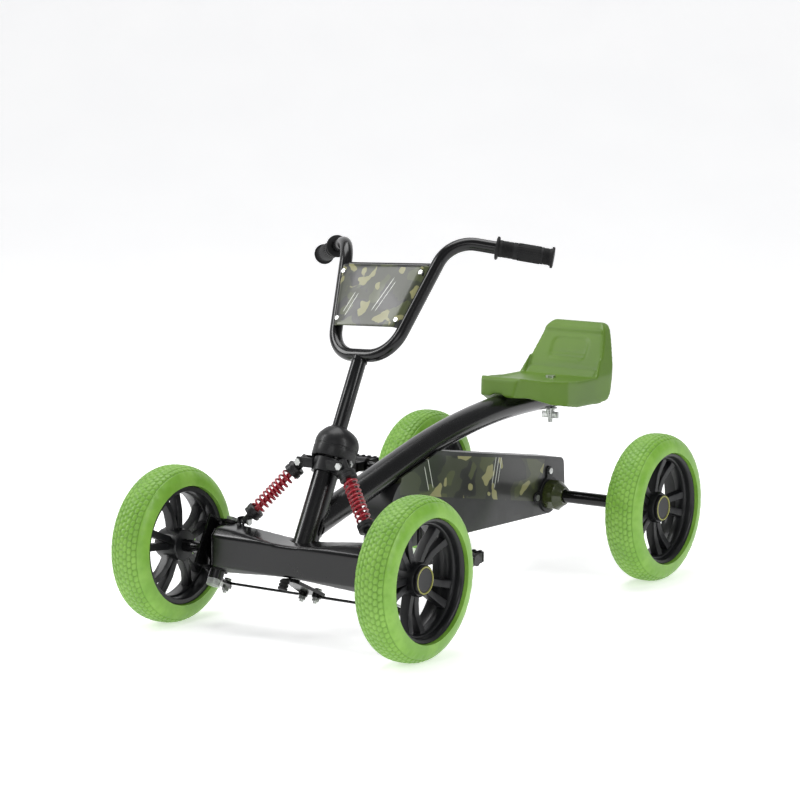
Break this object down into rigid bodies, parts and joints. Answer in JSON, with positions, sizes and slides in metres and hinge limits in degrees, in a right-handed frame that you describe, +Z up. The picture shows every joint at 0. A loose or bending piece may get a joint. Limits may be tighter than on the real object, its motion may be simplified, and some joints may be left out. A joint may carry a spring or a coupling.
{
  "type": "pedal go kart",
  "caption": "Child's pedal go kart with lime foam tyres on black spoked rims, raked handlebar steering, enclosed chain drive, moss green bucket seat and red coil springs",
  "frame": {"origin": "on the floor under the middle of the bounding box", "axes": "+Z up, front of the kart faces -Y, rider's left is +X, metres"},
  "size_m": [0.492, 0.9029, 0.5594],
  "materials": {
    "frame_steel": "gloss",
    "zinc_steel": "satin",
    "black_plastic": "matte",
    "olive_plastic": "gloss",
    "guard_plastic": "matte",
    "plate_plastic": "gloss",
    "seat_plastic": "satin",
    "tyre_foam": "matte",
    "rim_plastic": "matte",
    "spring_steel": "gloss",
    "grip_rubber": "matte",
    "bush_plastic": "matte",
    "chain_steel": "oiled"
  },
  "bodies": {
    "frame": {"front_beam": "frame_steel", "head_tube": "frame_steel", "main_tube": "frame_steel", "tube_end_cap": "black_plastic", "shock_collar": "frame_steel", "shock_upper_cups": "black_plastic", "shock_springs": "spring_steel", "shock_rods": "zinc_steel", "shock_lower_cups": "black_plastic", "shock_bolts": "zinc_steel", "column_cover": "black_plastic", "steering_bushes": "bush_plastic", "kingpin_bushes": "bush_plastic", "drive_plates": "frame_steel", "guard_posts": "zinc_steel", "left_guard": "guard_plastic", "right_guard": "guard_plastic", "guard_screws": "zinc_steel", "bearing_flanges": "black_plastic", "flange_bolts": "zinc_steel", "axle_bearings": "zinc_steel", "axle_cups": "olive_plastic", "crank_bushes": "bush_plastic", "chain": "chain_steel", "seat_bracket": "frame_steel", "steering_bumper": "black_plastic"},
    "steering": {"steering_column": "frame_steel", "handlebar": "frame_steel", "stem_bolt": "zinc_steel", "number_plate": "plate_plastic", "plate_screws": "zinc_steel", "grips": "grip_rubber", "pitman_bolts": "zinc_steel"},
    "left_rod": {"left_tie_rod": "frame_steel"},
    "right_rod": {"right_tie_rod": "frame_steel"},
    "left_steer": {"left_knuckle": "frame_steel", "left_knuckle_bolts": "zinc_steel"},
    "right_steer": {"right_knuckle": "frame_steel", "right_knuckle_bolts": "zinc_steel"},
    "front_left_wheel": {"front_left_rim": "rim_plastic", "front_left_tyre": "tyre_foam", "front_left_cap": "olive_plastic"},
    "front_right_wheel": {"front_right_rim": "rim_plastic", "front_right_tyre": "tyre_foam", "front_right_cap": "olive_plastic"},
    "drive_axle": {"rear_axle": "frame_steel", "rear_axle_nuts": "zinc_steel", "rear_sprocket": "frame_steel", "rear_left_rim": "rim_plastic", "rear_left_tyre": "tyre_foam", "rear_left_cap": "olive_plastic"},
    "rear_right_wheel": {"rear_right_rim": "rim_plastic", "rear_right_tyre": "tyre_foam", "rear_right_cap": "olive_plastic"},
    "crankset": {"crank": "frame_steel", "chainring": "frame_steel"},
    "pedal_left": {"left_pedal": "black_plastic"},
    "pedal_right": {"right_pedal": "black_plastic"},
    "seat_unit": {"seat": "seat_plastic", "seat_bolt": "zinc_steel"}
  },
  "joints": [
    {"name": "steer", "type": "hinge", "parent": "frame", "child": "steering", "pos_m": [0, -0.28183, 0.16798], "axis": [0, 0.4695, 0.8829], "range_deg": [-30, 30]},
    {"name": "left_kingpin_turn", "type": "hinge", "parent": "frame", "child": "left_steer", "pos_m": [0.138, -0.31, 0.115], "axis": [0, 0.4695, 0.8829], "range_deg": [-30, 30]},
    {"name": "right_kingpin_turn", "type": "hinge", "parent": "frame", "child": "right_steer", "pos_m": [-0.138, -0.31, 0.115], "axis": [0, 0.4695, 0.8829], "range_deg": [-30, 30]},
    {"name": "left_rod_turn", "type": "hinge", "parent": "steering", "child": "left_rod", "pos_m": [0.012, -0.29027, 0.05626], "axis": [0, 0.4695, 0.8829], "range_deg": [-30, 30]},
    {"name": "right_rod_turn", "type": "hinge", "parent": "steering", "child": "right_rod", "pos_m": [-0.012, -0.29027, 0.05626], "axis": [0, 0.4695, 0.8829], "range_deg": [-30, 30]},
    {"name": "front_left_roll", "type": "hinge", "parent": "left_steer", "child": "front_left_wheel", "pos_m": [0.214, -0.3365, 0.115], "axis": [1, 0, 0], "continuous": true},
    {"name": "front_right_roll", "type": "hinge", "parent": "right_steer", "child": "front_right_wheel", "pos_m": [-0.214, -0.3365, 0.115], "axis": [1, 0, 0], "continuous": true},
    {"name": "axle_roll", "type": "hinge", "parent": "frame", "child": "drive_axle", "pos_m": [0, 0.3135, 0.115], "axis": [1, 0, 0], "continuous": true},
    {"name": "rear_right_roll", "type": "hinge", "parent": "drive_axle", "child": "rear_right_wheel", "pos_m": [-0.216, 0.3135, 0.115], "axis": [1, 0, 0], "continuous": true},
    {"name": "crank_turn", "type": "hinge", "parent": "frame", "child": "crankset", "pos_m": [0, -0.06912, 0.147], "axis": [1, 0, 0], "continuous": true},
    {"name": "left_pedal_turn", "type": "hinge", "parent": "crankset", "child": "pedal_left", "pos_m": [0.092, -0.06912, 0.086], "axis": [1, 0, 0], "continuous": true},
    {"name": "right_pedal_turn", "type": "hinge", "parent": "crankset", "child": "pedal_right", "pos_m": [-0.092, -0.06912, 0.208], "axis": [1, 0, 0], "continuous": true},
    {"name": "seat_slide", "type": "slide", "parent": "frame", "child": "seat_unit", "axis": [0, 1, 0], "range_m": [-0.015, 0.015]}
  ],
  "couplings": [
    {"joint": "left_kingpin_turn", "follows": "steer", "ratio": 1},
    {"joint": "right_kingpin_turn", "follows": "steer", "ratio": 1},
    {"joint": "left_rod_turn", "follows": "steer", "ratio": -1},
    {"joint": "right_rod_turn", "follows": "steer", "ratio": -1},
    {"joint": "crank_turn", "follows": "axle_roll", "ratio": 0.55}
  ]
}
